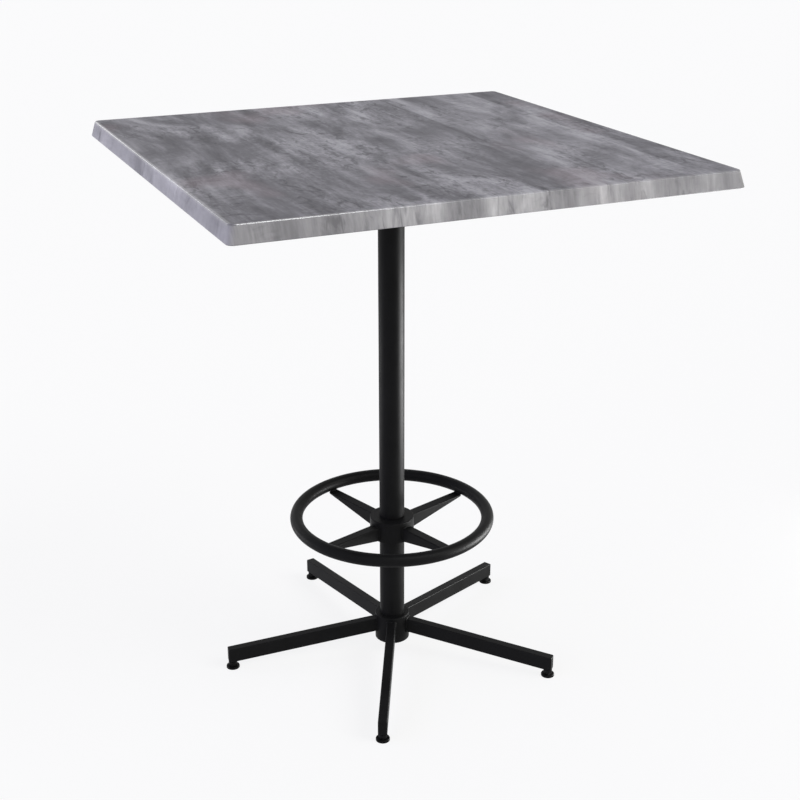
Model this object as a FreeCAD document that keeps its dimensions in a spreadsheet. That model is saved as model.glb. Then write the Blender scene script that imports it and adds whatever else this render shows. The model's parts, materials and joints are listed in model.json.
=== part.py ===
import FreeCAD, Part
import os
import Sketcher

# Pub table: a square top on a round column, with a round foot ring on four
# spokes and a base of five sloping legs on screw-in glides.
# Millimetres. +Z is up, the floor is Z = 0 and the column stands on the origin.
# The sides of the top lie along X and Y.

Vector = FreeCAD.Vector

DRIVING = [
    ("table_height", 1066.8, "floor to the upper face of the top, glides screwed in"),
    ("top_size", 914.4, "side of the square top at its lower edge"),
    ("top_thickness", 30.0, "thickness of the top board"),
    ("top_slope", 7.5, "how far the edge leans in from its foot to its upper arris"),
    ("top_corner", 12.0, "radius of the four corners in plan"),
    ("top_edge_round", 3.0, "rounding of the upper arris"),
    ("top_foot_round", 1.5, "rounding of the lower arris"),
    ("pilot_spare", 2.0, "depth of the screw holes in the top beyond the screws"),
    ("column_diameter", 50.8, "outside diameter of the column tube"),
    ("column_wall", 2.0, "wall of the column tube"),
    ("slip_gap", 0.1, "radial clearance of the column in its socket, hub and collar"),
    ("weld_gap", 0.05, "clearance between faces that are welded or pressed together"),
    ("thread_gap", 0.08, "radial clearance of threads and of the turning stems"),
    ("swivel_gap", 0.1, "height clearance of a stem in its pad"),
    ("plate_size", 250.0, "side of the square plate under the top"),
    ("plate_thickness", 5.0, "thickness of that plate"),
    ("plate_corner", 12.0, "corner radius of that plate"),
    ("plate_hole_inset", 20.0, "edge of the plate to the screw holes"),
    ("plate_hole_gap", 0.3, "radial clearance of a wood screw in the plate"),
    ("wood_screw_diameter", 5.0, "shank of a wood screw"),
    ("wood_screw_length", 24.0, "shank length under the head"),
    ("wood_head_diameter", 9.5, "head of a wood screw"),
    ("wood_head_height", 3.0, "height of that head"),
    ("wood_slot_length", 5.0, "span of the cross recess in the head"),
    ("wood_slot_width", 1.2, "width of each arm of the recess"),
    ("wood_slot_depth", 1.6, "depth of the recess"),
    ("socket_wall", 6.0, "wall of the socket under the plate"),
    ("socket_length", 60.0, "length of the socket"),
    ("socket_screw_drop", 35.0, "set screws of the socket, distance below the plate"),
    ("socket_screw_count", 3, "set screws round the socket"),
    ("socket_screw_proud", 1.95, "how far those screws stand out of the socket"),
    ("set_screw_diameter", 8.0, "thread of all set screws"),
    ("set_screw_key_width", 4.0, "hexagon key size of the set screws, across flats"),
    ("set_screw_key_depth", 4.0, "depth of the key socket"),
    ("hub_wall", 10.0, "wall of the base hub"),
    ("hub_height", 58.0, "height of the base hub"),
    ("hub_clearance", 22.0, "floor to the underside of the base hub"),
    ("hub_round", 1.5, "rounding of the upper rim of the base hub"),
    ("hub_disc_lip", 5.5, "wall of the hub round the disc let into its underside"),
    ("hub_disc_thickness", 4.0, "thickness of that disc"),
    ("bolt_hole_gap", 0.5, "radial clearance of the base bolt in disc and washer"),
    ("bolt_diameter", 12.0, "thread of the base bolt"),
    ("bolt_length", 30.0, "shank length of the base bolt"),
    ("bolt_head_width", 18.0, "head of the base bolt, across flats"),
    ("bolt_head_height", 7.5, "height of that head"),
    ("washer_diameter", 24.0, "washer under the base bolt"),
    ("washer_thickness", 2.5, "thickness of that washer"),
    ("plug_thickness", 16.0, "threaded plug in the foot of the column"),
    ("base_turn", -26.7, "leg 1 is turned this far from -Y about +Z, degrees"),
    ("leg_count", 5, "legs, evenly spaced"),
    ("leg_width", 18.0, "width of the leg tube"),
    ("leg_depth", 30.0, "depth of the leg tube"),
    ("leg_wall", 2.0, "wall of the leg tube"),
    ("leg_round", 2.0, "rounding along the four corners of the leg tube"),
    ("leg_hub_height", 56.0, "height of the leg's centre line at the hub"),
    ("leg_foot_height", 30.3, "height of the leg's centre line over the glide"),
    ("foot_radius", 340.5, "column axis to the axis of each glide"),
    ("leg_end_reach", 5.8, "glide axis to the end of the leg tube"),
    ("cap_flange", 3.0, "thickness of the end cap outside the tube"),
    ("cap_round", 1.8, "rounding of the end cap's face"),
    ("cap_gap", 0.1, "clearance of the cap's plug in the tube"),
    ("cap_plug_reach", 14.0, "glide axis to the inner end of the plug"),
    ("cap_boss_diameter", 17.6, "round boss under the end of the leg"),
    ("cap_boss_gap", 0.4, "clearance between the boss and the stem's hexagon below it"),
    ("cap_tongue_gap", 0.5, "side clearance of the tongue that fills the tube's notch"),
    ("insert_wall", 1.42, "wall of the threaded insert"),
    ("insert_length", 12.0, "length of the threaded insert"),
    ("stem_diameter", 10.0, "thread of the glide stem"),
    ("stem_hole_gap", 0.5, "radial clearance of the stem above the insert"),
    ("stem_spare", 5.0, "thread above the insert with the glide fully out"),
    ("stem_hole_spare", 1.0, "depth of the cap's hole above the stem"),
    ("glide_travel", 10.0, "how far a glide screws out"),
    ("stem_hex_width", 14.0, "spanner hexagon on the stem, across flats"),
    ("stem_hex_height", 3.0, "height of that hexagon"),
    ("pad_diameter", 27.0, "diameter of the glide pad"),
    ("pad_height", 5.0, "height of the glide pad"),
    ("pad_round", 1.8, "rounding of the pad's upper edge"),
    ("pad_foot_round", 0.5, "rounding of the pad's lower edge"),
    ("pad_socket_floor", 1.5, "floor of the pad under the stem"),
    ("ring_diameter", 390.0, "foot ring, diameter of the tube's centre line"),
    ("ring_tube_diameter", 25.4, "outside diameter of the ring's tube"),
    ("ring_tube_wall", 1.5, "wall of the ring's tube"),
    ("ring_height", 304.8, "floor to the centre of the ring's tube"),
    ("collar_depth", 19.5, "bore to outside of the foot ring's collar"),
    ("collar_height", 42.8, "height of the collar"),
    ("collar_wall", 4.0, "outer wall of the collar"),
    ("collar_web", 5.0, "top web of the collar"),
    ("collar_sleeve_wall", 5.5, "wall of the sleeve round the column"),
    ("collar_round", 2.0, "rounding of the collar's upper rim"),
    ("collar_boss_diameter", 14.0, "bosses for the two set screws of the collar"),
    ("collar_screw_pitch", 16.0, "height between those two set screws"),
    ("collar_screw_rise", 10.5, "lower set screw above the collar's underside"),
    ("ring_screw_sink", 1.55, "how deep those screws sit inside the collar"),
    ("spoke_count", 4, "spokes, evenly spaced, the first one half a step from leg 1"),
    ("spoke_width", 21.5, "width of a spoke"),
    ("spoke_sheet", 3.0, "sheet thickness of a spoke"),
    ("spoke_bend_share", 0.8, "outside bend radius of a spoke over its sheet thickness"),
    ("spoke_tip_inset", 4.0, "end of a spoke to the centre line of the ring's tube, inside it"),
    ("spoke_tip_round", 5.0, "corner radius at the end of a spoke"),
]

DERIVED = [
    ("top_bottom", "=table_height - top_thickness"),
    ("top_half_low", "=top_size / 2"),
    ("top_half_high", "=top_size / 2 - top_slope"),
    ("plate_half", "=plate_size / 2"),
    ("plate_bottom", "=top_bottom - plate_thickness"),
    ("plate_hole_at", "=plate_half - plate_hole_inset"),
    ("wood_radius", "=wood_screw_diameter / 2"),
    ("plate_hole_radius", "=wood_radius + plate_hole_gap"),
    ("pilot_depth", "=wood_screw_length - plate_thickness + pilot_spare"),
    ("pilot_radius", "=wood_screw_diameter / 2 + thread_gap"),
    ("wood_head_radius", "=wood_head_diameter / 2"),
    ("wood_head_bottom", "=plate_bottom - wood_head_height"),
    ("wood_slot_far", "=wood_slot_length / 2"),
    ("wood_slot_near", "=wood_slot_width / 2"),
    ("column_radius", "=column_diameter / 2"),
    ("column_bore", "=column_diameter / 2 - column_wall"),
    ("slip_radius", "=column_diameter / 2 + slip_gap"),
    ("socket_radius", "=slip_radius + socket_wall"),
    ("socket_bottom", "=plate_bottom - socket_length"),
    ("socket_screw_height", "=plate_bottom - socket_screw_drop"),
    ("set_screw_radius", "=set_screw_diameter / 2"),
    ("set_hole_radius", "=set_screw_diameter / 2 + thread_gap"),
    ("set_screw_tip", "=column_diameter / 2 + weld_gap"),
    ("socket_screw_end", "=socket_radius + socket_screw_proud"),
    ("socket_screw_length", "=socket_screw_end - set_screw_tip"),
    ("hub_radius", "=slip_radius + hub_wall"),
    ("hub_top", "=hub_clearance + hub_height"),
    ("disc_seat", "=hub_radius - hub_disc_lip"),
    ("disc_radius", "=disc_seat - weld_gap"),
    ("disc_top", "=hub_clearance + hub_disc_thickness"),
    ("column_length", "=plate_bottom - disc_top"),
    ("plug_radius", "=column_bore - weld_gap"),
    ("bolt_radius", "=bolt_diameter / 2"),
    ("bolt_hole_radius", "=bolt_radius + bolt_hole_gap"),
    ("plug_thread_radius", "=bolt_diameter / 2 + thread_gap"),
    ("washer_radius", "=washer_diameter / 2"),
    ("washer_bottom", "=hub_clearance - washer_thickness"),
    ("bolt_head_bottom", "=washer_bottom - bolt_head_height"),
    ("leg_fall", "=(leg_hub_height - leg_foot_height) / (foot_radius - hub_radius)"),
    ("leg_stretch", "=sqrt(1 + leg_fall * leg_fall)"),
    ("leg_half_rise", "=leg_depth / 2 * leg_stretch"),
    ("leg_wall_rise", "=leg_wall * leg_stretch"),
    ("leg_start", "=hub_radius / 2"),
    ("leg_end", "=foot_radius + leg_end_reach"),
    ("leg_cope", "=hub_radius + weld_gap"),
    ("leg_bore_width", "=leg_width - 2 * leg_wall"),
    ("leg_bore_half", "=leg_bore_width / 2"),
    ("leg_mid_start", "=leg_hub_height + leg_fall * (hub_radius - leg_start)"),
    ("leg_mid_end", "=leg_hub_height - leg_fall * (leg_end - hub_radius)"),
    ("leg_top_start", "=leg_mid_start + leg_half_rise"),
    ("leg_low_start", "=leg_mid_start - leg_half_rise"),
    ("leg_top_end", "=leg_mid_end + leg_half_rise"),
    ("leg_low_end", "=leg_mid_end - leg_half_rise"),
    ("leg_roof_start", "=leg_top_start - leg_wall_rise"),
    ("leg_floor_start", "=leg_low_start + leg_wall_rise"),
    ("leg_roof_end", "=leg_top_end - leg_wall_rise"),
    ("leg_floor_end", "=leg_low_end + leg_wall_rise"),
    ("cap_end", "=leg_end + cap_flange"),
    ("cap_mid_end", "=leg_hub_height - leg_fall * (cap_end - hub_radius)"),
    ("cap_top_end", "=cap_mid_end + leg_half_rise"),
    ("cap_low_end", "=cap_mid_end - leg_half_rise"),
    ("plug_start", "=foot_radius - cap_plug_reach"),
    ("plug_mid_start", "=leg_hub_height - leg_fall * (plug_start - hub_radius)"),
    ("plug_roof_start", "=plug_mid_start + leg_half_rise - leg_wall_rise - cap_gap"),
    ("plug_floor_start", "=plug_mid_start - leg_half_rise + leg_wall_rise + cap_gap"),
    ("plug_roof_end", "=leg_roof_end - cap_gap"),
    ("plug_floor_end", "=leg_floor_end + cap_gap"),
    ("plug_width", "=leg_bore_width - 2 * cap_gap"),
    ("pad_radius", "=pad_diameter / 2"),
    ("stem_radius", "=stem_diameter / 2"),
    ("thread_radius", "=stem_radius + thread_gap"),
    ("stem_hex_bottom", "=pad_height + swivel_gap"),
    ("cap_boss_bottom", "=stem_hex_bottom + stem_hex_height + cap_boss_gap"),
    ("neck_radius", "=plug_width / 2"),
    ("neck_start", "=cap_boss_bottom + 1"),
    ("neck_length", "=leg_foot_height - neck_start"),
    ("tongue_half", "=leg_bore_half - cap_tongue_gap"),
    ("boss_radius", "=cap_boss_diameter / 2"),
    ("boss_in", "=foot_radius - boss_radius - 1"),
    ("boss_out", "=foot_radius + boss_radius + 1"),
    ("boss_low_in", "=leg_hub_height - leg_fall * (boss_in - hub_radius) - leg_half_rise - weld_gap"),
    ("boss_low_out", "=leg_hub_height - leg_fall * (boss_out - hub_radius) - leg_half_rise - weld_gap"),
    ("boss_pad_length", "=boss_low_in - cap_boss_bottom"),
    ("boss_pad_top", "=boss_low_in + 1"),
    ("boss_cut_width", "=cap_boss_diameter + 2"),
    ("insert_radius", "=thread_radius + insert_wall"),
    ("insert_seat", "=insert_radius + weld_gap"),
    ("insert_top", "=cap_boss_bottom + insert_length"),
    ("stem_hole_radius", "=stem_radius + stem_hole_gap"),
    ("stem_top", "=insert_top + glide_travel + stem_spare"),
    ("stem_foot", "=pad_socket_floor + swivel_gap"),
    ("stem_length", "=stem_top - stem_foot"),
    ("stem_hole_depth", "=stem_top + stem_hole_spare - cap_boss_bottom"),
    ("ring_radius", "=ring_diameter / 2"),
    ("ring_tube_radius", "=ring_tube_diameter / 2"),
    ("ring_bore_radius", "=ring_tube_diameter / 2 - ring_tube_wall"),
    ("collar_radius", "=slip_radius + collar_depth"),
    ("collar_inner", "=collar_radius - collar_wall"),
    ("ring_screw_end", "=collar_radius - ring_screw_sink"),
    ("ring_screw_length", "=ring_screw_end - set_screw_tip"),
    ("collar_sleeve", "=slip_radius + collar_sleeve_wall"),
    ("collar_bottom", "=ring_height - collar_height"),
    ("collar_web_bottom", "=ring_height - collar_web"),
    ("collar_boss_start", "=slip_radius + collar_sleeve_wall / 2"),
    ("collar_boss_length", "=collar_inner + collar_wall / 2 - collar_boss_start"),
    ("collar_boss_radius", "=collar_boss_diameter / 2"),
    ("collar_screw_low", "=collar_bottom + collar_screw_rise"),
    ("collar_screw_high", "=collar_screw_low + collar_screw_pitch"),
    ("spoke_bend", "=spoke_sheet * spoke_bend_share"),
    ("spoke_seat", "=ring_tube_radius + weld_gap + spoke_bend"),
    ("spoke_nose", "=spoke_tip_inset + spoke_bend"),
    ("spoke_top", "=ring_height + spoke_bend - sqrt(spoke_seat * spoke_seat - spoke_nose * spoke_nose)"),
    ("spoke_web_bottom", "=spoke_top - spoke_sheet"),
    ("spoke_start", "=slip_radius + collar_sleeve_wall"),
    ("spoke_end", "=ring_radius - spoke_tip_inset"),
    ("spoke_cope", "=collar_radius + weld_gap"),
    ("spoke_inner_width", "=spoke_width - 2 * spoke_sheet"),
]

HEXAGONS = ["bolt_head", "stem_hex", "set_screw_key"]

doc = FreeCAD.newDocument("pub_table")
sheet = doc.addObject("Spreadsheet::Sheet", "dims")


def fill_sheet():
    rows = [(alias, str(value), note) for alias, value, note in DRIVING]
    rows += [(alias, text, "derived") for alias, text in DERIVED]
    for name in HEXAGONS:
        rows.append((name + "_half", "=" + name + "_width / 2", "derived"))
        rows.append((name + "_far", "=" + name + "_width / sqrt(3)", "derived"))
        rows.append((name + "_near", "=" + name + "_width / sqrt(12)", "derived"))
    for row, (alias, text, note) in enumerate(rows, start=1):
        sheet.set("A%d" % row, alias)
        sheet.setAlias("B%d" % row, alias)
        sheet.set("B%d" % row, text)
        sheet.set("C%d" % row, note)
    doc.recompute()


def number(ref):
    """Value of a sheet alias, of a minus sign and an alias, or of 0."""
    if ref == 0:
        return 0.0
    if ref.startswith("-"):
        return -float(sheet.get(ref[1:]))
    return float(sheet.get(ref))


def formula(ref):
    if ref.startswith("-"):
        return "-dims." + ref[1:]
    return "dims." + ref


def new_body(label):
    body = doc.addObject("PartDesign::Body", label)
    body.Label = label
    return body


def origin_feature(body, role):
    for feature in body.Origin.OriginFeatures:
        if feature.Role == role:
            return feature
    raise ValueError(role)


def new_sketch(body, role="XY_Plane", offset=None):
    sketch = body.newObject("Sketcher::SketchObject", body.Name + "_sketch")
    sketch.AttachmentSupport = (origin_feature(body, role), [""])
    sketch.MapMode = "FlatFace"
    if offset:
        sketch.setExpression("AttachmentOffset.Base.z", formula(offset))
    return sketch


def constrain(sketch, kind, parts, ref):
    index = sketch.addConstraint(Sketcher.Constraint(kind, *parts, number(ref)))
    sketch.setExpression("Constraints[%d]" % index, formula(ref))


def pin(sketch, geometry, point, x, y):
    """Hold one point of a geometry at (x, y) from the sketch's origin."""
    if x == 0 and y == 0:
        sketch.addConstraint(Sketcher.Constraint("Coincident", geometry, point, -1, 1))
        return
    for kind, ref, axis in (("DistanceX", x, -2), ("DistanceY", y, -1)):
        if ref == 0:
            sketch.addConstraint(Sketcher.Constraint("PointOnObject", geometry, point, axis))
        else:
            constrain(sketch, kind, (-1, 1, geometry, point), ref)


def draw_circle(sketch, radius, x=0, y=0):
    centre = Vector(number(x), number(y), 0)
    circle = Part.Circle(centre, Vector(0, 0, 1), number(radius))
    index = sketch.addGeometry(circle, False)
    pin(sketch, index, 3, x, y)
    constrain(sketch, "Radius", (index,), radius)


def draw_polygon(sketch, corners):
    first = sketch.GeometryCount
    count = len(corners)
    spots = [Vector(number(x), number(y), 0) for x, y in corners]
    for k in range(count):
        sketch.addGeometry(Part.LineSegment(spots[k], spots[(k + 1) % count]), False)
    for k in range(count):
        after = first + (k + 1) % count
        sketch.addConstraint(Sketcher.Constraint("Coincident", first + k, 2, after, 1))
    for k, (x, y) in enumerate(corners):
        pin(sketch, first + k, 1, x, y)


def draw_rectangle(sketch, left, right, low, high):
    draw_polygon(sketch, [(left, low), (right, low), (right, high), (left, high)])


def draw_hexagon(sketch, name, x=0, y=0):
    """Hexagon with two flats along the sketch's x axis, centred on the origin."""
    far, near, half = name + "_far", name + "_near", name + "_half"
    draw_polygon(sketch, [
        (far, 0), (near, half), ("-" + near, half),
        ("-" + far, 0), ("-" + near, "-" + half), (near, "-" + half),
    ])


def finish_feature(body, feature):
    body.Tip = feature
    doc.recompute()
    return feature


def pad(body, sketch, length, symmetric=False):
    feature = body.newObject("PartDesign::Pad", body.Name + "_pad")
    feature.Profile = sketch
    feature.SideType = "Symmetric" if symmetric else "One side"
    feature.setExpression("Length", formula(length))
    return finish_feature(body, feature)


def pocket(body, sketch, length=None, symmetric=False, forward=False):
    """Cut a sketch out. forward cuts along the sketch's normal, length None cuts through."""
    before = body.Tip.Shape.Volume
    feature = body.newObject("PartDesign::Pocket", body.Name + "_pocket")
    feature.Profile = sketch
    feature.SideType = "Symmetric" if symmetric else "One side"
    feature.Reversed = forward
    if length:
        feature.setExpression("Length", formula(length))
    else:
        feature.Type = "ThroughAll"
    finish_feature(body, feature)
    if feature.Shape.Volume > before - 0.01:
        raise ValueError(feature.Label + " removes nothing")
    return feature


def revolve(body, sketch):
    feature = body.newObject("PartDesign::Revolution", body.Name + "_revolution")
    feature.Profile = sketch
    feature.ReferenceAxis = (sketch, ["V_Axis"])
    feature.Angle = 360
    return finish_feature(body, feature)


def polar_pattern(body, originals, count):
    feature = body.newObject("PartDesign::PolarPattern", body.Name + "_pattern")
    feature.Originals = originals
    feature.Axis = (origin_feature(body, "Z_Axis"), [""])
    feature.Angle = 360
    feature.Occurrences = count
    return finish_feature(body, feature)


def round_edges(body, radius, chosen):
    base = body.Tip
    names = ["Edge%d" % k for k, edge in enumerate(base.Shape.Edges, start=1) if chosen(edge)]
    feature = body.newObject("PartDesign::Fillet", body.Name + "_fillet")
    feature.Base = (base, names)
    feature.setExpression("Radius", formula(radius))
    return finish_feature(body, feature)


def lies_at(edge, axis, ref):
    """True if the whole edge lies at one value of x, y or z."""
    low = getattr(edge.BoundBox, axis + "Min")
    high = getattr(edge.BoundBox, axis + "Max")
    return abs(low - number(ref)) < 0.001 and abs(high - number(ref)) < 0.001


def rim_at(edge, radius, height):
    """True for a circle about the Z axis of this radius and height."""
    wide = abs(edge.BoundBox.XMax - number(radius)) < 0.001
    return wide and lies_at(edge, "Z", height) and len(edge.Vertexes) < 3


def turn_about_z(body, expression):
    body.Placement = FreeCAD.Placement(Vector(0, 0, 0), FreeCAD.Rotation(Vector(0, 0, 1), 1))
    body.setExpression("Placement.Rotation.Angle", expression)


def bored_disc(label, radius, bore, bottom, length, x=0):
    """Upright ring with a round bore."""
    body = new_body(label)
    sketch = new_sketch(body, offset=bottom)
    draw_circle(sketch, radius, x)
    draw_circle(sketch, bore, x)
    pad(body, sketch, length)
    return body


def group(label, pieces):
    compound = doc.addObject("Part::Compound", label)
    compound.Label = label
    compound.Links = pieces
    return compound


def make_table_top():
    body = new_body("table_top")
    outline = new_sketch(body, offset="top_bottom")
    draw_rectangle(outline, "-top_half_low", "top_half_low", "-top_half_low", "top_half_low")
    pad(body, outline, "top_thickness")
    for side in ("XZ_Plane", "YZ_Plane"):
        wedges = new_sketch(body, side)
        for sign in ("", "-"):
            draw_polygon(wedges, [
                (sign + "top_half_low", "top_bottom"), (sign + "top_half_low", "table_height"),
                (sign + "top_half_high", "table_height"),
            ])
        pocket(body, wedges, symmetric=True)
    round_edges(body, "top_corner", lambda edge: edge.BoundBox.ZLength > 1)
    round_edges(body, "top_edge_round", lambda edge: lies_at(edge, "Z", "table_height"))
    round_edges(body, "top_foot_round", lambda edge: lies_at(edge, "Z", "top_bottom"))
    pilots = new_sketch(body, offset="top_bottom")
    draw_circle(pilots, "pilot_radius", "plate_hole_at", "plate_hole_at")
    draw_circle(pilots, "pilot_radius", "plate_hole_at", 0)
    holes = pocket(body, pilots, "pilot_depth", forward=True)
    polar_pattern(body, [holes], 4)
    return body


def make_top_plate():
    body = new_body("top_plate")
    outline = new_sketch(body, offset="plate_bottom")
    draw_rectangle(outline, "-plate_half", "plate_half", "-plate_half", "plate_half")
    pad(body, outline, "plate_thickness")
    round_edges(body, "plate_corner", lambda edge: edge.BoundBox.ZLength > 1)
    drilled = new_sketch(body, offset="plate_bottom")
    draw_circle(drilled, "plate_hole_radius", "plate_hole_at", "plate_hole_at")
    draw_circle(drilled, "plate_hole_radius", "plate_hole_at", 0)
    holes = pocket(body, drilled, forward=True)
    polar_pattern(body, [holes], 4)
    return body


def make_wood_screw(index, x, y):
    body = new_body("wood_screw_%d" % index)
    head = new_sketch(body, offset="wood_head_bottom")
    draw_circle(head, "wood_head_radius", x, y)
    pad(body, head, "wood_head_height")
    shank = new_sketch(body, offset="plate_bottom")
    draw_circle(shank, "wood_radius", x, y)
    pad(body, shank, "wood_screw_length")
    return body


def cut_cross_recess(body, x, y):
    """Two crossing slots in the underside of a screw head."""
    for far_x, far_y in (("wood_slot_far", "wood_slot_near"), ("wood_slot_near", "wood_slot_far")):
        slot = new_sketch(body, offset="wood_head_bottom")
        slot.setExpression("AttachmentOffset.Base.x", formula(x) if x else "0")
        slot.setExpression("AttachmentOffset.Base.y", formula(y) if y else "0")
        draw_rectangle(slot, "-" + far_x, far_x, "-" + far_y, far_y)
        pocket(body, slot, "wood_slot_depth", forward=True)


def make_top_screws():
    at = "plate_hole_at"
    spots = [(at, at), (at, 0), (at, "-" + at), (0, "-" + at)]
    spots += [("-" + at, "-" + at), ("-" + at, 0), ("-" + at, at), (0, at)]
    screws = []
    for index, (x, y) in enumerate(spots, start=1):
        screw = make_wood_screw(index, x, y)
        cut_cross_recess(screw, x, y)
        screws.append(screw)
    return group("top_screws", screws)


def make_set_screw(label, end, length, height):
    """Headless screw along +X, its tip at the column and a key socket in its outer end."""
    body = new_body(label)
    shank = new_sketch(body, "YZ_Plane", "set_screw_tip")
    draw_circle(shank, "set_screw_radius", 0, height)
    pad(body, shank, length)
    key = new_sketch(body, "YZ_Plane", end)
    key.setExpression("AttachmentOffset.Base.y", formula(height))
    draw_hexagon(key, "set_screw_key")
    pocket(body, key, "set_screw_key_depth")
    return body


def make_top_socket():
    body = bored_disc("top_socket", "socket_radius", "slip_radius", "socket_bottom", "socket_length")
    side = new_sketch(body, "YZ_Plane")
    draw_circle(side, "set_hole_radius", 0, "socket_screw_height")
    hole = pocket(body, side, forward=True)
    polar_pattern(body, [hole], int(number("socket_screw_count")))
    return body


def make_socket_set_screws():
    count = int(number("socket_screw_count"))
    screws = []
    for k in range(count):
        screw = make_set_screw(
            "socket_set_screw_%d" % (k + 1), "socket_screw_end",
            "socket_screw_length", "socket_screw_height",
        )
        turn_about_z(screw, "360 / dims.socket_screw_count * %d" % k)
        screws.append(screw)
    return group("socket_set_screws", screws)


def make_base_hub():
    body = new_body("base_hub")
    section = new_sketch(body, "XZ_Plane")
    draw_polygon(section, [
        ("disc_seat", "hub_clearance"), ("hub_radius", "hub_clearance"),
        ("hub_radius", "hub_top"), ("slip_radius", "hub_top"),
        ("slip_radius", "disc_top"), ("disc_seat", "disc_top"),
    ])
    revolve(body, section)
    round_edges(body, "hub_round", lambda edge: rim_at(edge, "hub_radius", "hub_top"))
    return body


def make_base_bolt():
    body = new_body("base_bolt")
    head = new_sketch(body, offset="bolt_head_bottom")
    draw_hexagon(head, "bolt_head")
    pad(body, head, "bolt_head_height")
    shank = new_sketch(body, offset="washer_bottom")
    draw_circle(shank, "bolt_radius")
    pad(body, shank, "bolt_length")
    return body


def turn_with_leg(body, index):
    """Turn a piece drawn along +X to the direction of a leg."""
    turn_about_z(body, "dims.base_turn - 90 + 360 / dims.leg_count * %d" % (index - 1))


def make_leg(index):
    body = new_body("leg_%d" % index)
    side = new_sketch(body, "XZ_Plane")
    draw_polygon(side, [
        ("leg_start", "leg_low_start"), ("leg_end", "leg_low_end"),
        ("leg_end", "leg_top_end"), ("leg_start", "leg_top_start"),
    ])
    pad(body, side, "leg_width", symmetric=True)
    round_edges(body, "leg_round", lambda edge: edge.BoundBox.XLength > 10)
    bore = new_sketch(body, "XZ_Plane")
    draw_polygon(bore, [
        ("leg_start", "leg_floor_start"), ("leg_end", "leg_floor_end"),
        ("leg_end", "leg_roof_end"), ("leg_start", "leg_roof_start"),
    ])
    pocket(body, bore, "leg_bore_width", symmetric=True)
    cope = new_sketch(body)
    draw_circle(cope, "leg_cope")
    pocket(body, cope, symmetric=True)
    notch = new_sketch(body)
    draw_rectangle(notch, "foot_radius", "leg_end", "-leg_bore_half", "leg_bore_half")
    pocket(body, notch, "leg_foot_height", forward=True)
    throat = new_sketch(body)
    draw_circle(throat, "leg_bore_half", "foot_radius")
    pocket(body, throat, "leg_foot_height", forward=True)
    turn_with_leg(body, index)
    return body


def flange_corner(edge):
    """True for the edges that run across the end cap's flange along the leg."""
    starts = abs(edge.BoundBox.XMin - number("leg_end")) < 0.001
    return starts and abs(edge.BoundBox.XMax - number("cap_end")) < 0.001


def make_leg_cap(index):
    body = new_body("leg_cap_%d" % index)
    boss = new_sketch(body, offset="cap_boss_bottom")
    draw_circle(boss, "boss_radius", "foot_radius")
    pad(body, boss, "boss_pad_length")
    slant = new_sketch(body, "XZ_Plane")
    draw_polygon(slant, [
        ("boss_in", "boss_low_in"), ("boss_out", "boss_low_out"),
        ("boss_out", "boss_pad_top"), ("boss_in", "boss_pad_top"),
    ])
    pocket(body, slant, "boss_cut_width", symmetric=True)
    neck = new_sketch(body, offset="neck_start")
    draw_circle(neck, "neck_radius", "foot_radius")
    pad(body, neck, "neck_length")
    tongue = new_sketch(body, offset="neck_start")
    draw_rectangle(tongue, "foot_radius", "leg_end", "-tongue_half", "tongue_half")
    pad(body, tongue, "neck_length")
    plug = new_sketch(body, "XZ_Plane")
    draw_polygon(plug, [
        ("plug_start", "plug_floor_start"), ("leg_end", "plug_floor_end"),
        ("leg_end", "plug_roof_end"), ("plug_start", "plug_roof_start"),
    ])
    pad(body, plug, "plug_width", symmetric=True)
    flange = new_sketch(body, "XZ_Plane")
    draw_polygon(flange, [
        ("leg_end", "leg_low_end"), ("cap_end", "cap_low_end"),
        ("cap_end", "cap_top_end"), ("leg_end", "leg_top_end"),
    ])
    pad(body, flange, "leg_width", symmetric=True)
    round_edges(body, "leg_round", flange_corner)
    round_edges(body, "cap_round", lambda edge: lies_at(edge, "X", "cap_end"))
    stem_hole = new_sketch(body, offset="cap_boss_bottom")
    draw_circle(stem_hole, "stem_hole_radius", "foot_radius")
    pocket(body, stem_hole, "stem_hole_depth", forward=True)
    seat = new_sketch(body, offset="cap_boss_bottom")
    draw_circle(seat, "insert_seat", "foot_radius")
    pocket(body, seat, "insert_length", forward=True)
    turn_with_leg(body, index)
    return body


def make_glide_insert(index):
    body = bored_disc(
        "glide_insert_%d" % index, "insert_radius", "thread_radius",
        "cap_boss_bottom", "insert_length", "foot_radius",
    )
    turn_with_leg(body, index)
    return body


def make_glide_stem(index):
    body = new_body("glide_stem_%d" % index)
    stud = new_sketch(body, offset="stem_foot")
    draw_circle(stud, "stem_radius", "foot_radius")
    pad(body, stud, "stem_length")
    spanner = new_sketch(body, offset="stem_hex_bottom")
    spanner.setExpression("AttachmentOffset.Base.x", formula("foot_radius"))
    draw_hexagon(spanner, "stem_hex")
    pad(body, spanner, "stem_hex_height")
    turn_with_leg(body, index)
    return body


def make_glide_pad(index):
    body = new_body("glide_pad_%d" % index)
    disc = new_sketch(body)
    draw_circle(disc, "pad_radius", "foot_radius")
    pad(body, disc, "pad_height")
    round_edges(body, "pad_round", lambda edge: lies_at(edge, "Z", "pad_height"))
    round_edges(body, "pad_foot_round", lambda edge: edge.BoundBox.ZMax < 0.001)
    seat = new_sketch(body, offset="pad_socket_floor")
    draw_circle(seat, "thread_radius", "foot_radius")
    pocket(body, seat, forward=True)
    turn_with_leg(body, index)
    return body


def make_foot_ring():
    body = new_body("foot_ring")
    section = new_sketch(body, "XZ_Plane")
    draw_circle(section, "ring_tube_radius", "ring_radius", "ring_height")
    draw_circle(section, "ring_bore_radius", "ring_radius", "ring_height")
    revolve(body, section)
    return body


def turn_collar(body):
    """Turn a piece drawn along +X to the side opposite leg 1."""
    turn_about_z(body, "dims.base_turn + 90")


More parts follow.
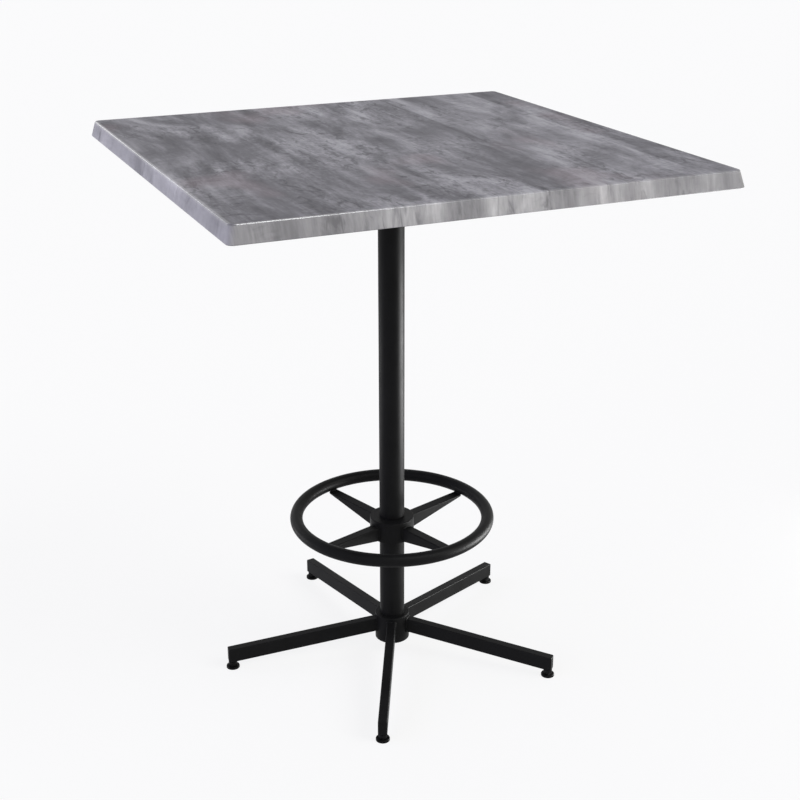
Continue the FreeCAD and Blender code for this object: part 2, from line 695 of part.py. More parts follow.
def make_ring_hub():
    body = new_body("ring_hub")
    section = new_sketch(body, "XZ_Plane")
    draw_polygon(section, [
        ("slip_radius", "collar_bottom"), ("collar_sleeve", "collar_bottom"),
        ("collar_sleeve", "collar_web_bottom"), ("collar_inner", "collar_web_bottom"),
        ("collar_inner", "collar_bottom"), ("collar_radius", "collar_bottom"),
        ("collar_radius", "ring_height"), ("slip_radius", "ring_height"),
    ])
    revolve(body, section)
    round_edges(body, "collar_round", lambda edge: rim_at(edge, "collar_radius", "ring_height"))
    bosses = new_sketch(body, "YZ_Plane", "collar_boss_start")
    draw_circle(bosses, "collar_boss_radius", 0, "collar_screw_low")
    draw_circle(bosses, "collar_boss_radius", 0, "collar_screw_high")
    pad(body, bosses, "collar_boss_length")
    threads = new_sketch(body, "YZ_Plane")
    draw_circle(threads, "set_hole_radius", 0, "collar_screw_low")
    draw_circle(threads, "set_hole_radius", 0, "collar_screw_high")
    pocket(body, threads, forward=True)
    turn_collar(body)
    return body


def make_ring_set_screws():
    screws = []
    for index, height in enumerate(("collar_screw_low", "collar_screw_high"), start=1):
        screw = make_set_screw(
            "ring_set_screw_%d" % index, "ring_screw_end", "ring_screw_length", height,
        )
        turn_collar(screw)
        screws.append(screw)
    return group("ring_set_screws", screws)


def make_ring_spoke(index):
    body = new_body("ring_spoke_%d" % index)
    side = new_sketch(body, "XZ_Plane")
    draw_polygon(side, [
        ("spoke_start", "collar_bottom"), ("spoke_end", "spoke_web_bottom"),
        ("spoke_end", "spoke_top"), ("spoke_start", "spoke_top"),
    ])
    pad(body, side, "spoke_width", symmetric=True)
    round_edges(
        body, "spoke_tip_round",
        lambda edge: lies_at(edge, "X", "spoke_end") and edge.BoundBox.YLength < 0.001,
    )
    round_edges(
        body, "spoke_bend",
        lambda edge: lies_at(edge, "Z", "spoke_top") and edge.BoundBox.XLength > 10,
    )
    trough = new_sketch(body, "XZ_Plane")
    draw_rectangle(trough, "spoke_start", "spoke_end", "collar_bottom", "spoke_web_bottom")
    pocket(body, trough, "spoke_inner_width", symmetric=True)
    cope = new_sketch(body)
    draw_circle(cope, "spoke_cope")
    pocket(body, cope, symmetric=True)
    turn_about_z(
        body,
        "dims.base_turn - 90 + 360 / dims.spoke_count * %.1f" % (index - 0.5),
    )
    return body


def check_document():
    for item in doc.Objects:
        if "Invalid" in item.State or "Error" in item.State:
            raise ValueError("%s is %s" % (item.Label, item.State))


def write_parts(parts):
    os.makedirs("parts", exist_ok=True)
    for part in parts:
        if part.Shape.isNull() or not part.Shape.isValid():
            raise ValueError(part.Label + " has no valid shape")
        part.Shape.exportStep("parts/%s.step" % part.Label)
        solids = len(part.Shape.Solids)
        print("%-20s solids %d volume %.0f" % (part.Label, solids, part.Shape.Volume))


fill_sheet()
legs = range(1, int(number("leg_count")) + 1)
spokes = range(1, int(number("spoke_count")) + 1)
parts = [
    make_table_top(),
    make_top_plate(),
    make_top_screws(),
    make_top_socket(),
    make_socket_set_screws(),
    bored_disc("column_tube", "column_radius", "column_bore", "disc_top", "column_length"),
    bored_disc("column_plug", "plug_radius", "plug_thread_radius", "disc_top", "plug_thickness"),
    make_base_hub(),
    bored_disc(
        "base_hub_disc", "disc_radius", "bolt_hole_radius", "hub_clearance", "hub_disc_thickness",
    ),
    bored_disc(
        "base_washer", "washer_radius", "bolt_hole_radius", "washer_bottom", "washer_thickness",
    ),
    make_base_bolt(),
    make_foot_ring(),
    make_ring_hub(),
    make_ring_set_screws(),
]
parts += [make_ring_spoke(index) for index in spokes]
for build in (make_leg, make_leg_cap, make_glide_insert, make_glide_stem, make_glide_pad):
    parts += [build(index) for index in legs]
doc.recompute()
check_document()
write_parts(parts)
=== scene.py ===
import json
import math

import bmesh
import bpy
from mathutils import Matrix, Quaternion, Vector


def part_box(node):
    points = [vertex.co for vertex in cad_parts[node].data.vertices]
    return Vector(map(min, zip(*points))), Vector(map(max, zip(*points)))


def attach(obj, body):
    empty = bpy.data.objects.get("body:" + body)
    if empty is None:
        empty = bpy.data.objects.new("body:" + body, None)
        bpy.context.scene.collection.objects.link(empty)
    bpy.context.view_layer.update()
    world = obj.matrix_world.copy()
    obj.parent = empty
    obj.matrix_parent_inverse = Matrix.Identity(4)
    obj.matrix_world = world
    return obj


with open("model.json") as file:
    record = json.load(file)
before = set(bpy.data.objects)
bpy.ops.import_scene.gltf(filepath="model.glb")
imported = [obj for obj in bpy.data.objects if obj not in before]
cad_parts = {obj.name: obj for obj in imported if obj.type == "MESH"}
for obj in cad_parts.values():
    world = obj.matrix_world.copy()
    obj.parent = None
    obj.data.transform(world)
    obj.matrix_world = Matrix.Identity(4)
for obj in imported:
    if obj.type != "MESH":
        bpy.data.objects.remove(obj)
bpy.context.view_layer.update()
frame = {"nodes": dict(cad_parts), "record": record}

# The pub table's looks. Metres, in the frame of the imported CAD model: +Z up, the floor at
# Z = 0, the column on the Z axis and the sides of the top along X and Y.

# The camera, for a frame of 800 x 800 pixels: it stands at CAMERA_TURN about +Z from -Y.
CAMERA_TURN = math.radians(-24.0)
CAMERA_RISE = math.radians(21.87)
CAMERA_DISTANCE = 2.7
CAMERA_AIM_SIDE = 0.0165
CAMERA_AIM_HEIGHT = 0.5579
CAMERA_FOCAL_PIXELS = 1365.4
CAMERA_REACH = 200.0
FRAME_PIXELS = 800
SENSOR_MM = 36.0

# The top: where its flat face ends at the rounded arris, and its decor. The noise that shares
# the decor out is calm below the first level of CALM_TO_BUSY and busy above the second. The
# grain wanders sideways by GRAIN_SWAY and is drawn out down the edge by GRAIN_DRAPE. The depths
# are how much darker than the decor the dashes and the saw marks are.
TOP_LOW, TOP_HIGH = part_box("table_top")
TOP_RIM = 0.4482
PLANKS_PER_METRE = 9.6
PLANK_OFFSET = 0.35
PLANK_CONTRAST = 0.19
PLANK_MEAN_TONE = 0.515
CALM_TO_BUSY = (0.38, 0.58)
GRAIN_SWAY = 0.05
GRAIN_DRAPE = 0.25
DASH_DEPTH = 0.27
SAW_MARK_DEPTH = 0.18
WARM_COLOUR = (0.225, 0.176, 0.190, 1)
WARM_SHARE = 0.34

# The sloping edge of the top: the tone that its decor is drawn towards, by how much, how much
# of the warm patches it loses, and how much lighter it is painted in red, green and blue. The
# tone is a little lighter than the top's, and it and the lift are painted light for the light
# that falls on the edge. The depths under the flat face are where its look is full and where it
# is gone.
EDGE_TONE = 0.57
EDGE_CALM = 0.40
EDGE_WARMTH_LOSS = 0.8
EDGE_PAINTED_LIGHT = (0.70, 0.705, 0.60)
EDGE_FADE = (0.0035, 0.0005)

# The polish that hands give the arris: the weight and roughness of its coat, over what width it
# comes up beside TOP_RIM, and the depths under the flat face where it is gone and full.
POLISH_COAT = 0.78
POLISH_ROUGHNESS = 0.24
POLISH_WIDTH = 0.004
POLISH_FADE = (0.0055, 0.0025)

# The heights over the top's underside where its dark backing is full and where it is gone.
BACKING_FADE = (0.0002, 0.0010)

# Head-on reflection of the top's decor and of the black finishes, as Specular IOR Level.
DECOR_SHINE = 0.17
BLACK_SHINE = 0.05

# Sizes of the base that the weld beads follow.
BASE_TURN = math.radians(-26.7)
LEG_COUNT = 5
LEG_HALF_WIDTH = 0.009
LEG_HALF_RISE = 0.015
LEG_CORNER = 0.002
LEG_CENTRE = 0.056
SPOKE_COUNT = 4
SPOKE_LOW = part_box("ring_spoke_1")[0].z
SPOKE_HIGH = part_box("ring_spoke_1")[1].z
SPOKE_HALF_WIDTH = 0.01075
SPOKE_BEND = 0.0024
RING_RADIUS = 0.195
HUB_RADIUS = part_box("base_hub")[1].x
COLLAR_RADIUS = (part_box("ring_hub")[1].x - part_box("ring_hub")[0].x) / 2
SOCKET_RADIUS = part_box("top_socket")[1].x
PLATE_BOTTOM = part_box("top_plate")[0].z

# Weld beads: radius by joint, how far the bead's centre line stands off the wall, how far over
# the spoke's lower edge its bead ends, the distance between two ripples and their depth as a
# share of the radius, the slow wander of the radius as a share and in radians a ring, and the
# share of the radius that is left at an open end.
LEG_BEAD = 0.0019
SPOKE_BEAD = 0.0017
RING_BEAD = 0.0013
SOCKET_BEAD = 0.0024
BEAD_STANDOFF = 0.0003
SOCKET_STANDOFF = 0.0004
SPOKE_BEAD_LIFT = 0.002
RIPPLE_PITCH = 0.0022
RIPPLE_DEPTH = 0.12
RINGS_PER_RIPPLE = 4
BEAD_SIDES = 10
BEAD_WANDER = 0.08
BEAD_WANDER_RATE = 0.37
BEAD_END_SHARE = 0.55

# The two beads where a spoke's tip meets the ring: name, place from the middle of the ring's
# tube, height over the top of the spoke, and half the length.
TIP_BEADS = (
    ("inner", -0.0082, 0.0006, 0.0085),
    ("outer", -0.0039, -0.0017, 0.0052),
)

# The studio: light from all round, and the share of plain white in the floor as it is seen.
ROOM_LIGHT = 0.55
FLOOR_REACH = 60.0
FLOOR_WHITE = 0.84


class Paint:
    """Builds the node tree of one material around its Principled shader."""

    def __init__(self, name):
        self.material = bpy.data.materials.new(name)
        self.material.use_nodes = True
        self.tree = self.material.node_tree
        self.shader = self.tree.nodes["Principled BSDF"]
        self.place = self.node("ShaderNodeTexCoord").outputs["Object"]

    def node(self, kind, **settings):
        made = self.tree.nodes.new(kind)
        for key, value in settings.items():
            setattr(made, key, value)
        return made

    def feed(self, socket, value):
        """Link an output to a socket, or set the socket's own value."""
        if isinstance(value, bpy.types.NodeSocket):
            self.tree.links.new(value, socket)
        else:
            socket.default_value = value

    def math(self, operation, first, second=0.0, third=0.0, clamp=False):
        made = self.node("ShaderNodeMath", operation=operation, use_clamp=clamp)
        for socket, value in zip(made.inputs, (first, second, third)):
            self.feed(socket, value)
        return made.outputs[0]

    def centred(self, value):
        """A noise of mean one half, moved to mean zero."""
        return self.math("SUBTRACT", value, 0.5)

    def join(self, values):
        """A vector of three values."""
        made = self.node("ShaderNodeCombineXYZ")
        for socket, value in zip(made.inputs, values):
            self.feed(socket, value)
        return made.outputs[0]

    def stretch(self, vector, scale, turn=0.0):
        made = self.node("ShaderNodeMapping")
        self.feed(made.inputs["Vector"], vector)
        made.inputs["Scale"].default_value = scale
        made.inputs["Rotation"].default_value = (0, 0, math.radians(turn))
        return made.outputs[0]

    def noise(self, vector, scale=1.0, detail=2.0, roughness=0.5, distortion=0.0):
        made = self.node("ShaderNodeTexNoise")
        self.feed(made.inputs["Vector"], vector)
        made.inputs["Scale"].default_value = scale
        made.inputs["Detail"].default_value = detail
        made.inputs["Roughness"].default_value = roughness
        made.inputs["Distortion"].default_value = distortion
        return made.outputs[0]

    def spread(self, value, low, high, to_low=0.0, to_high=1.0):
        """Map low..high to to_low..to_high, smoothly and clamped."""
        made = self.node("ShaderNodeMapRange", interpolation_type="SMOOTHSTEP")
        for socket, item in zip(made.inputs, (value, low, high, to_low, to_high)):
            self.feed(socket, item)
        return made.outputs[0]

    def ramp(self, value, stops):
        """A colour from a value, by a list of stops, each a position and a colour."""
        made = self.node("ShaderNodeValToRGB")
        self.feed(made.inputs[0], value)
        points = made.color_ramp.elements
        points[0].position, points[1].position = stops[0][0], stops[-1][0]
        points[0].color = (*stops[0][1], 1)
        points[-1].color = (*stops[-1][1], 1)
        for position, colour in stops[1:-1]:
            points.new(position).color = (*colour, 1)
        return made.outputs[0]

    def mix(self, share, first, second, blend="MIX"):
        """Mix two colours. The node's colour inputs are 6 and 7, and its colour output is 2."""
        made = self.node("ShaderNodeMix", data_type="RGBA", blend_type=blend)
        self.feed(made.inputs[0], share)
        self.feed(made.inputs[6], first)
        self.feed(made.inputs[7], second)
        return made.outputs[2]

    def bump(self, height, strength, depth):
        made = self.node("ShaderNodeBump")
        made.inputs["Strength"].default_value = strength
        made.inputs["Distance"].default_value = depth
        self.feed(made.inputs["Height"], height)
        return made.outputs[0]

    def finish(self, **sockets):
        """Feed the shader's sockets, named with _ for a space, and return the material."""
        for name, value in sockets.items():
            self.feed(self.shader.inputs[name.replace("_", " ")], value)
        return self.material


def weathered_board():
    """The top: weathered grey decor along Y, painted light on the edge, polished arris, dark
    underside.
    """
    paint = Paint("weathered_board")
    split = paint.node("ShaderNodeSeparateXYZ")
    paint.feed(split.inputs[0], paint.place)
    x, y, z = split.outputs
    side = paint.spread(z, TOP_HIGH.z - EDGE_FADE[0], TOP_HIGH.z - EDGE_FADE[1], 1.0, 0.0)
    under = paint.spread(z, TOP_LOW.z + BACKING_FADE[0], TOP_LOW.z + BACKING_FADE[1], 1.0, 0.0)

    sway = paint.noise(paint.stretch(paint.place, (2.5, 1.6, 2.5)), detail=1.0)
    swayed_x = paint.math("MULTIPLY_ADD", paint.centred(sway), GRAIN_SWAY, x)
    grain = paint.join((swayed_x, y, paint.math("MULTIPLY", z, GRAIN_DRAPE)))
    streaks = paint.noise(paint.stretch(grain, (36, 3.6, 10)), detail=5.0, roughness=0.60)
    fibres = paint.noise(paint.stretch(grain, (420, 30, 160)), detail=2.0)

    tone = decor_tone(paint, plank_shade(paint, x), grain, streaks, fibres)
    # The edge's decor is calmed towards EDGE_TONE; that this tone is lighter than the top's is
    # painted light.
    calmer = paint.math("MULTIPLY", side, paint.math("SUBTRACT", EDGE_TONE, tone))
    tone = paint.math("MULTIPLY_ADD", calmer, EDGE_CALM, tone)
    colour = paint.ramp(tone, [
        (0.10, (0.062, 0.060, 0.067)),
        (0.36, (0.128, 0.125, 0.136)),
        (0.55, (0.208, 0.203, 0.218)),
        (0.80, (0.350, 0.344, 0.362)),
    ])

    clouds = paint.noise(paint.stretch(paint.place, (5.2, 3.6, 5)), detail=2.0)
    off_edge = paint.math("MULTIPLY_ADD", side, -EDGE_WARMTH_LOSS, 1.0)
    warm = paint.math("MULTIPLY", paint.spread(clouds, 0.58, 0.70, 0.0, WARM_SHARE), off_edge)
    colour = paint.mix(warm, colour, WARM_COLOUR)
    # Painted light: the sloping edge is made lighter, for the light that falls on it.
    lift = paint.join([paint.math("MULTIPLY_ADD", side, share, 1.0) for share in EDGE_PAINTED_LIGHT])
    colour = paint.mix(1.0, colour, lift, blend="MULTIPLY")

    mottle = paint.noise(paint.stretch(paint.place, (60, 60, 60)), detail=4.0)
    backing = paint.ramp(mottle, [
        (0.3, (0.030, 0.029, 0.029)),
        (0.7, (0.050, 0.048, 0.047)),
    ])
    colour = paint.mix(under, colour, backing)
    height = paint.math("MULTIPLY_ADD", fibres, 0.35, paint.math("MULTIPLY", streaks, 0.65))
    return paint.finish(
        Base_Color=colour,
        Roughness=paint.spread(tone, 0.2, 0.8, 0.60, 0.48),
        Specular_IOR_Level=DECOR_SHINE,
        Normal=paint.bump(height, 0.25, 0.0004),
        Coat_Weight=paint.math("MULTIPLY", arris_wear(paint, x, y, z), POLISH_COAT),
        Coat_Roughness=POLISH_ROUGHNESS,
    )


def plank_shade(paint, across):
    """A random level for each plank, with a narrow soft step from one to the next."""
    count = paint.math("MULTIPLY_ADD", across, PLANKS_PER_METRE, PLANK_OFFSET)
    plank = paint.math("FLOOR", count)
    step = paint.spread(paint.math("SUBTRACT", count, plank), 0.955, 1.0)
    levels = []
    for number in (plank, paint.math("ADD", plank, 1.0)):
        lottery = paint.node("ShaderNodeTexWhiteNoise", noise_dimensions="1D")
        paint.feed(lottery.inputs["W"], number)
        levels.append(lottery.outputs["Value"])
    rise = paint.math("SUBTRACT", levels[1], levels[0])
    return paint.math("MULTIPLY_ADD", rise, step, levels[0])


def decor_tone(paint, shade, grain, streaks, fibres):
    """How light the decor is, from 0 to 1: planks, streaks, specks, dark dashes, saw marks."""
    areas = paint.noise(paint.stretch(grain, (7.5, 3.4, 6)), detail=2.0, distortion=0.5)
    bands = paint.noise(
        paint.stretch(grain, (9, 3.3, 6)), detail=5.0, roughness=0.60, distortion=0.8,
    )
    specks = paint.noise(paint.stretch(grain, (150, 70, 120)), detail=3.0, roughness=0.6)
    layers = (
        (streaks, paint.spread(areas, *CALM_TO_BUSY, 0.62, 1.02)),
        (bands, 1.45),
        (specks, paint.spread(areas, *CALM_TO_BUSY, 0.20, 0.50)),
        (fibres, 0.14),
    )
    tone = paint.math("MULTIPLY_ADD", paint.centred(shade), PLANK_CONTRAST, PLANK_MEAN_TONE)
    for layer, share in layers:
        tone = paint.math("MULTIPLY_ADD", paint.centred(layer), share, tone)

    blots = paint.noise(
        paint.stretch(grain, (46, 20, 45), turn=8), detail=4.0, roughness=0.62, distortion=1.0,
    )
    busy = paint.spread(areas, *CALM_TO_BUSY)
    dashes = paint.math("MULTIPLY", paint.spread(blots, 0.52, 0.67), busy)
    tone = paint.math("MULTIPLY_ADD", dashes, -DASH_DEPTH, tone)

    saw = paint.noise(
        paint.stretch(grain, (20, 70, 60), turn=24), detail=3.0, roughness=0.6, distortion=1.2,
    )
    patches = paint.noise(paint.stretch(grain, (11, 5, 8)), detail=2.0, distortion=0.5)
    in_patches = paint.spread(patches, 0.44, 0.62)
    marks = paint.math("MULTIPLY", paint.spread(saw, 0.50, 0.70), in_patches)
    return paint.math("MULTIPLY_ADD", marks, -SAW_MARK_DEPTH, tone, clamp=True)


def arris_wear(paint, x, y, z):
    """One on the upper arris, which hands polish, and zero on the flat face and the slope."""
    reach = paint.math("MAXIMUM", paint.math("ABSOLUTE", x), paint.math("ABSOLUTE", y))
    off_the_face = paint.spread(reach, TOP_RIM - POLISH_WIDTH, TOP_RIM)
    off_the_slope = paint.spread(z, TOP_HIGH.z - POLISH_FADE[0], TOP_HIGH.z - POLISH_FADE[1])
    return paint.math("MULTIPLY", off_the_face, off_the_slope)


def powder_coat():
    """Satin black powder coat with a fine orange peel, faint dulling and scuffs."""
    paint = Paint("powder_coat")
    peel = paint.noise(paint.place, scale=900, detail=1.0)
    dulling = paint.noise(paint.place, scale=14, detail=4.0, roughness=0.65)
    scuffs = paint.noise(paint.stretch(paint.place, (60, 60, 220)), detail=3.0, roughness=0.7)
    colour = paint.ramp(dulling, [
        (0.3, (0.0060, 0.0060, 0.0060)),
        (0.7, (0.0090, 0.0090, 0.0091)),
    ])
    scuffed = paint.spread(scuffs, 0.68, 0.80, 0.0, 0.35)
    return paint.finish(
        Base_Color=paint.mix(scuffed, colour, (0.012, 0.012, 0.012, 1)),
        Roughness=paint.spread(dulling, 0.3, 0.7, 0.40, 0.50),
        Specular_IOR_Level=BLACK_SHINE,
        Normal=paint.bump(peel, 0.10, 0.0002),
    )


def moulded_black(name, level, roughness_low, roughness_high):
    """Black moulded plastic with a fine spark-eroded texture."""
    paint = Paint(name)
    stipple = paint.noise(paint.place, scale=2600, detail=2.0)
    flow = paint.noise(paint.stretch(paint.place, (40, 40, 90)), detail=3.0)
    dark, light = level * 0.85, level * 1.2
    return paint.finish(
        Base_Color=paint.ramp(flow, [(0.3, (dark,) * 3), (0.7, (light,) * 3)]),
        Roughness=paint.spread(flow, 0.3, 0.7, roughness_low, roughness_high),
        Specular_IOR_Level=BLACK_SHINE,
        Normal=paint.bump(stipple, 0.25, 0.0001),
    )


def turned_metal(name, dark, light, roughness):
    """Bare or plated metal with fine tool marks across the Z axis."""
    paint = Paint(name)
    marks = paint.noise(paint.stretch(paint.place, (300, 300, 2500)), detail=2.0)
    stains = paint.noise(paint.place, scale=120, detail=3.0)
    return paint.finish(
        Base_Color=paint.ramp(stains, [(0.3, dark), (0.7, light)]),
        Metallic=1.0,
        Roughness=paint.spread(marks, 0.3, 0.7, roughness - 0.06, roughness + 0.08),
        Normal=paint.bump(marks, 0.15, 0.0001),
    )


def place_materials(coat):
    """Give each CAD node the material of its slot in the record."""
    by_slot = {
        "top_board": weathered_board(),
        "black_steel": coat,
        "zinc_screws": turned_metal(
            "zinc_plate", (0.50, 0.51, 0.53), (0.64, 0.65, 0.68), 0.34,
        ),
        "plain_steel": turned_metal(
            "plain_steel", (0.38, 0.37, 0.36), (0.50, 0.49, 0.48), 0.40,
        ),
        "black_screws": turned_metal(
            "black_oxide", (0.020, 0.020, 0.021), (0.036, 0.036, 0.038), 0.38,
        ),
        "brass_insert": turned_metal(
            "turned_brass", (0.58, 0.42, 0.16), (0.68, 0.50, 0.21), 0.30,
        ),
        "cap_plastic": moulded_black("cap_plastic", 0.0070, 0.42, 0.52),
        "pad_plastic": moulded_black("pad_plastic", 0.0035, 0.36, 0.48),
    }
    for part in frame["record"]["subparts"]:
        node = frame["nodes"][part["node"]]
        node.data.materials.clear()
        node.data.materials.append(by_slot[part["material_slot"]])


def add_bead(name, path, radius, body, material, closed=False):
    """A weld bead: a tube along the path with the ripples that a weld leaves."""
    spots = resample(path, RIPPLE_PITCH / RINGS_PER_RIPPLE, closed)
    count = len(spots)
    mesh = bmesh.new()
    rings = []
    last_side = None
    for k, spot in enumerate(spots):
        before = spots[(k - 1) % count] if closed or k > 0 else spot
        after = spots[(k + 1) % count] if closed or k < count - 1 else spot
        along = (after - before).normalized()
        if last_side is None:
            side = along.orthogonal()
        else:
            side = along.cross(last_side.cross(along))
        last_side = side.normalized()
        lift = along.cross(last_side)
        ripple = RIPPLE_DEPTH * math.cos(2 * math.pi * k / RINGS_PER_RIPPLE)
        wander = BEAD_WANDER * math.sin(k * BEAD_WANDER_RATE)
        at_end = not closed and k in (0, count - 1)
        size = radius * (BEAD_END_SHARE if at_end else 1.0) * (1 + ripple + wander)
        rings.append([
            mesh.verts.new(spot + size * (math.cos(turn) * last_side + math.sin(turn) * lift))
            for turn in (2 * math.pi * s / BEAD_SIDES for s in range(BEAD_SIDES))
        ])
    for k in range(count if closed else count - 1):
        near, far = rings[k], rings[(k + 1) % count]
        for s in range(BEAD_SIDES):
            beside = (s + 1) % BEAD_SIDES
            mesh.faces.new((near[s], near[beside], far[beside], far[s]))
    if not closed:
        mesh.faces.new(list(reversed(rings[0])))
        mesh.faces.new(rings[-1])
    bmesh.ops.recalc_face_normals(mesh, faces=mesh.faces)
    for face in mesh.faces:
        face.smooth = True
    data = bpy.data.meshes.new(name)
    mesh.to_mesh(data)
    mesh.free()
    data.materials.append(material)
    piece = bpy.data.objects.new(name, data)
    bpy.context.scene.collection.objects.link(piece)
    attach(piece, body)


def resample(path, step, closed):
    """Points evenly spaced along a line through the path's points."""
    stops = list(path) + ([path[0]] if closed else [])
    lengths = [(b - a).length for a, b in zip(stops, stops[1:])]
    total = sum(lengths)
    count = max(8, round(total / step))
    spots = []
    segment, passed = 0, 0.0
    for k in range(count if closed else count + 1):
        goal = total * k / count
        while segment < len(lengths) - 1 and passed + lengths[segment] < goal:
            passed += lengths[segment]
            segment += 1
        share = (goal - passed) / lengths[segment]
        spots.append(stops[segment].lerp(stops[segment + 1], min(share, 1.0)))
    return spots


def circle(radius, height, count=96):
    turns = [2 * math.pi * k / count for k in range(count)]
    return [Vector((radius * math.cos(t), radius * math.sin(t), height)) for t in turns]


def on_cylinder(radius, across, height):
    """A point of the cylinder about +Z at a given offset across the +X direction."""
    return Vector((math.sqrt(radius ** 2 - across ** 2), across, height))


def turned(path, angle):
    spin = Matrix.Rotation(angle, 3, "Z")
    return [spin @ spot for spot in path]


def quarter_turn(start):
    """Four angles that round off a corner, from a start in degrees."""
    return [math.radians(start + turn) for turn in range(0, 91, 30)]


def leg_outline():
    """Where a leg's surface meets the hub, as a closed path with rounded corners."""
    spots = []
    for sign_y, sign_z, start in ((1, 1, 0), (-1, 1, 90), (-1, -1, 180), (1, -1, 270)):
        middle_y = sign_y * (LEG_HALF_WIDTH - LEG_CORNER)
        middle_z = LEG_CENTRE + sign_z * (LEG_HALF_RISE - LEG_CORNER)
        for angle in quarter_turn(start):
            across = middle_y + LEG_CORNER * math.cos(angle)
            height = middle_z + LEG_CORNER * math.sin(angle)
            spots.append(on_cylinder(HUB_RADIUS + BEAD_STANDOFF, across, height))
    return spots


def spoke_outline():
    """Where a spoke's top and sides meet the collar, as an open path."""
    low = SPOKE_LOW + SPOKE_BEAD_LIFT
    radius = COLLAR_RADIUS + BEAD_STANDOFF
    spots = [on_cylinder(radius, SPOKE_HALF_WIDTH, low)]
    for sign, start in ((1, 0), (-1, 90)):
        middle_y = sign * (SPOKE_HALF_WIDTH - SPOKE_BEND)
        for angle in quarter_turn(start):
            across = middle_y + SPOKE_BEND * math.cos(angle)
            height = SPOKE_HIGH - SPOKE_BEND + SPOKE_BEND * math.sin(angle)
            spots.append(on_cylinder(radius, across, height))
    spots.append(on_cylinder(radius, -SPOKE_HALF_WIDTH, low))
    return spots


def add_welds(material):
    """Beads at the legs' hub, the spokes' collar and tips, and the socket under the plate."""
    for k in range(LEG_COUNT):
        angle = BASE_TURN - math.pi / 2 + 2 * math.pi * k / LEG_COUNT
        path = turned(leg_outline(), angle)
        add_bead("weld_leg_%d" % (k + 1), path, LEG_BEAD, "frame", material, closed=True)
    for k in range(SPOKE_COUNT):
        angle = BASE_TURN - math.pi / 2 + 2 * math.pi * (k + 0.5) / SPOKE_COUNT
        path = turned(spoke_outline(), angle)
        add_bead("weld_spoke_%d" % (k + 1), path, SPOKE_BEAD, "foot_rest", material)
        for side, reach, lift, half in TIP_BEADS:
            ends = [
                Vector((RING_RADIUS + reach, across, SPOKE_HIGH + lift))
                for across in (-half, half)
            ]
            name = "weld_ring_%s_%d" % (side, k + 1)
            add_bead(name, turned(ends, angle), RING_BEAD, "foot_rest", material)
    path = circle(SOCKET_RADIUS + SOCKET_STANDOFF, PLATE_BOTTOM - SOCKET_STANDOFF)
    add_bead("weld_socket", path, SOCKET_BEAD, "frame", material, closed=True)


def direction(turn, rise):
    """Unit vector towards a viewer standing at turn about +Z from -Y, at that elevation."""
    return Vector((
        math.sin(turn) * math.cos(rise), -math.cos(turn) * math.cos(rise), math.sin(rise),
    ))


def place_camera():
    data = bpy.data.cameras.new("view")
    data.sensor_width = SENSOR_MM
    data.lens = CAMERA_FOCAL_PIXELS / FRAME_PIXELS * SENSOR_MM
    data.clip_end = CAMERA_REACH
    camera = bpy.data.objects.new("view", data)
    bpy.context.scene.collection.objects.link(camera)
    back = direction(CAMERA_TURN, CAMERA_RISE)
    right = Vector((math.cos(CAMERA_TURN), math.sin(CAMERA_TURN), 0))
    aim = Vector((0, 0, CAMERA_AIM_HEIGHT)) + right * CAMERA_AIM_SIDE
    camera.location = aim + back * CAMERA_DISTANCE
    camera.rotation_euler = (-back).to_track_quat("-Z", "Y").to_euler()
    bpy.context.scene.camera = camera


def add_sun(name, turn, rise, strength, softness, colour, in_gloss=True):
    """Distant light. Its turn in degrees counts from the camera, and softness is its width."""
    data = bpy.data.lights.new(name, "SUN")
    data.energy = strength
    data.angle = math.radians(softness)
    data.color = colour
    lamp = bpy.data.objects.new(name, data)
    bpy.context.scene.collection.objects.link(lamp)
    towards = direction(CAMERA_TURN + math.radians(turn), math.radians(rise))
    lamp.rotation_euler = towards.to_track_quat("Z", "Y").to_euler()
    lamp.visible_glossy = in_gloss


def add_softbox(name, turn, rise, distance, size, power, aim, roll=0):
    """A panel that faces the point aim and shows only in reflections on the table."""
    data = bpy.data.lights.new(name, "AREA")
    data.shape = "RECTANGLE"
    data.size, data.size_y = size
    data.energy = power
    lamp = bpy.data.objects.new(name, data)
    bpy.context.scene.collection.objects.link(lamp)
    towards = direction(CAMERA_TURN + math.radians(turn), math.radians(rise))
    lamp.location = Vector(aim) + towards * distance
    spin = Quaternion((0, 0, 1), math.radians(roll))
    lamp.rotation_euler = (towards.to_track_quat("Z", "Y") @ spin).to_euler()
    lamp.visible_diffuse = False
    lamp.visible_camera = False


def seen_directly(tree):
    """One for what the camera sees, by itself, in a reflection or through a clear piece."""
    rays = tree.nodes.new("ShaderNodeLightPath")
    total = rays.outputs["Is Camera Ray"]
    for name in ("Is Glossy Ray", "Is Transmission Ray"):
        either = tree.nodes.new("ShaderNodeMath")
        either.operation = "MAXIMUM"
        tree.links.new(total, either.inputs[0])
        tree.links.new(rays.outputs[name], either.inputs[1])
        total = either.outputs[0]
    return total


def light_world():
    """Even light from all round, seen as plain white."""
    world = bpy.data.worlds.new("studio")
    bpy.context.scene.world = world
    world.use_nodes = True
    tree = world.node_tree
    tree.nodes.clear()
    room = tree.nodes.new("ShaderNodeBackground")
    room.inputs["Strength"].default_value = ROOM_LIGHT
    white = tree.nodes.new("ShaderNodeBackground")
    white.inputs["Color"].default_value = (1, 1, 1, 1)
    white.inputs["Strength"].default_value = 1.0
    choose = tree.nodes.new("ShaderNodeMixShader")
    output = tree.nodes.new("ShaderNodeOutputWorld")
    tree.links.new(seen_directly(tree), choose.inputs[0])
    tree.links.new(room.outputs[0], choose.inputs[1])
    tree.links.new(white.outputs[0], choose.inputs[2])
    tree.links.new(choose.outputs[0], output.inputs[0])


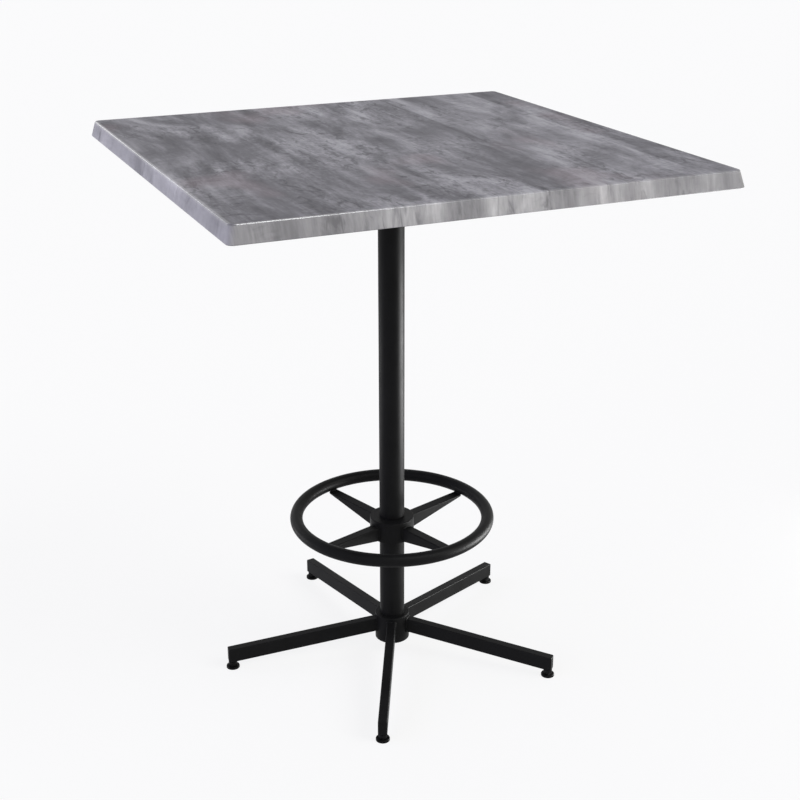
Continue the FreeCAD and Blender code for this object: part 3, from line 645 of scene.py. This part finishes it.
def lay_floor():
    """A pale floor to the horizon. It is seen nearly white and keeps the table's shadow."""
    data = bpy.data.meshes.new("floor")
    corners = [
        Vector((x * FLOOR_REACH, y * FLOOR_REACH, 0))
        for x, y in ((-1, -1), (1, -1), (1, 1), (-1, 1))
    ]
    data.from_pydata(corners, [], [(0, 1, 2, 3)])
    floor = bpy.data.objects.new("floor", data)
    bpy.context.scene.collection.objects.link(floor)
    paint = Paint("floor")
    paint.finish(Base_Color=(0.90, 0.90, 0.90, 1), Roughness=0.9, Specular_IOR_Level=0.1)
    glow = paint.node("ShaderNodeEmission")
    glow.inputs["Strength"].default_value = 1.0
    choose = paint.node("ShaderNodeMixShader")
    share = paint.math("MULTIPLY", seen_directly(paint.tree), FLOOR_WHITE)
    paint.feed(choose.inputs[0], share)
    paint.feed(choose.inputs[1], paint.shader.outputs[0])
    paint.feed(choose.inputs[2], glow.outputs[0])
    paint.feed(paint.tree.nodes["Material Output"].inputs[0], choose.outputs[0])
    data.materials.append(paint.material)


coat = powder_coat()
place_materials(coat)
add_welds(coat)
place_camera()
light_world()
lay_floor()

add_sun("key", turn=75, rise=38, strength=1.42, softness=35, colour=(1.0, 1.0, 0.97))
add_sun("fill", turn=-85, rise=24, strength=0.62, softness=45, colour=(0.82, 0.81, 1.56),
        in_gloss=False)
add_sun("front", turn=-42, rise=12, strength=0.90, softness=40, colour=(0.95, 0.95, 1.09),
        in_gloss=False)

# Two low strips draw the highlights down the column, and two panels stand where the front and
# the left arris of the top mirror them to the camera.
add_softbox("strip_right", turn=98, rise=0, distance=1.25, size=(1.0, 0.40), power=62,
            aim=(0, 0, 0.20))
add_softbox("strip_left", turn=-108, rise=0, distance=1.25, size=(0.7, 0.26), power=3,
            aim=(0, 0, 0.14))
add_softbox("arris", turn=77.6, rise=65.6, distance=1.7, size=(0.44, 2.2), power=68,
            aim=(-0.41, -0.45, 1.066), roll=-40)
add_softbox("rear", turn=-141.6, rise=11, distance=3.0, size=(1.4, 0.6), power=7.5,
            aim=(-0.45, 0, 1.066))
bpy.context.scene.view_settings.view_transform = "Standard"
